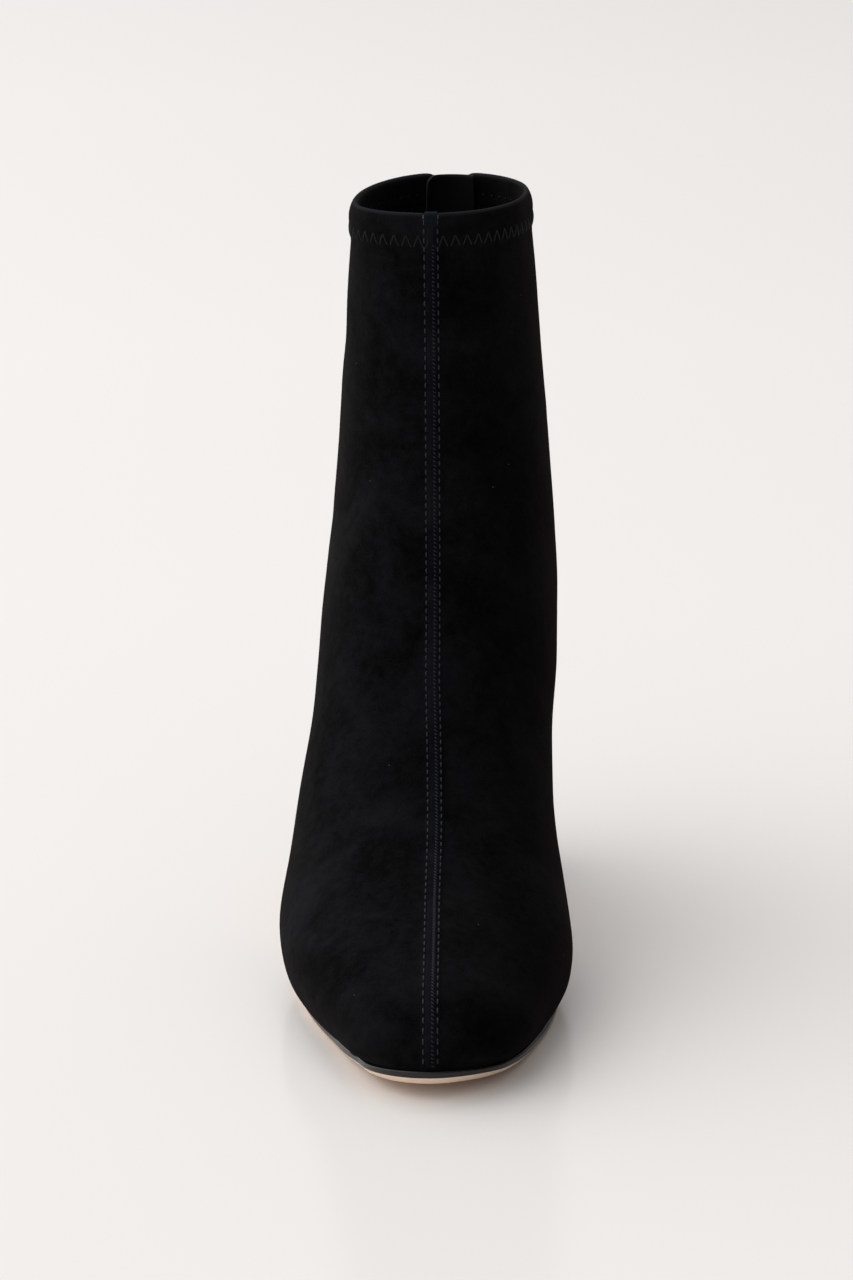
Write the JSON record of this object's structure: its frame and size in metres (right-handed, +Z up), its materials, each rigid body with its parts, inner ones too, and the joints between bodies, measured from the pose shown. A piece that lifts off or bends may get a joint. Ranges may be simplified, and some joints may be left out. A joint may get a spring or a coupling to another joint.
{
  "type": "ankle boot",
  "caption": "Right-foot ankle boot in stretch suede with a folded collar, a front centre seam, a zip up the back, a thin sole and a covered block heel.",
  "frame": {"origin": "on the floor under the middle of the boot's box", "axes": "+Z up, toe towards -Y, inner side of the foot towards +X"},
  "size_m": [0.0928, 0.2354, 0.2401],
  "materials": {
    "upper": "black suede nap, matt",
    "outsole": "bare beige underside, edge dressed black and glossy",
    "insole": "smooth black sock leather",
    "heel": "covered in black suede",
    "heel_top_piece": "black, matt",
    "zip_tape": "black woven tape",
    "zip_chain": "dark teeth",
    "zip_guard": "thin black lining leather",
    "zip_slider": "dark plated",
    "zip_pull": "dark plated"
  },
  "bodies": {
    "boot": {"upper": "upper", "outsole": "outsole", "insole": "insole", "heel": "heel", "heel_top_piece": "heel_top_piece", "zip_tape": "zip_tape", "zip_chain": "zip_chain", "zip_guard": "zip_guard", "zip_slider": "zip_slider"},
    "pull": {"zip_pull": "zip_pull"}
  },
  "joints": [
    {"name": "pull_hinge", "type": "hinge", "parent": "boot", "child": "pull", "pos_m": [0.0055, 0.11337, 0.2345], "axis": [1, 0, 0], "range_deg": [0, 160]}
  ]
}
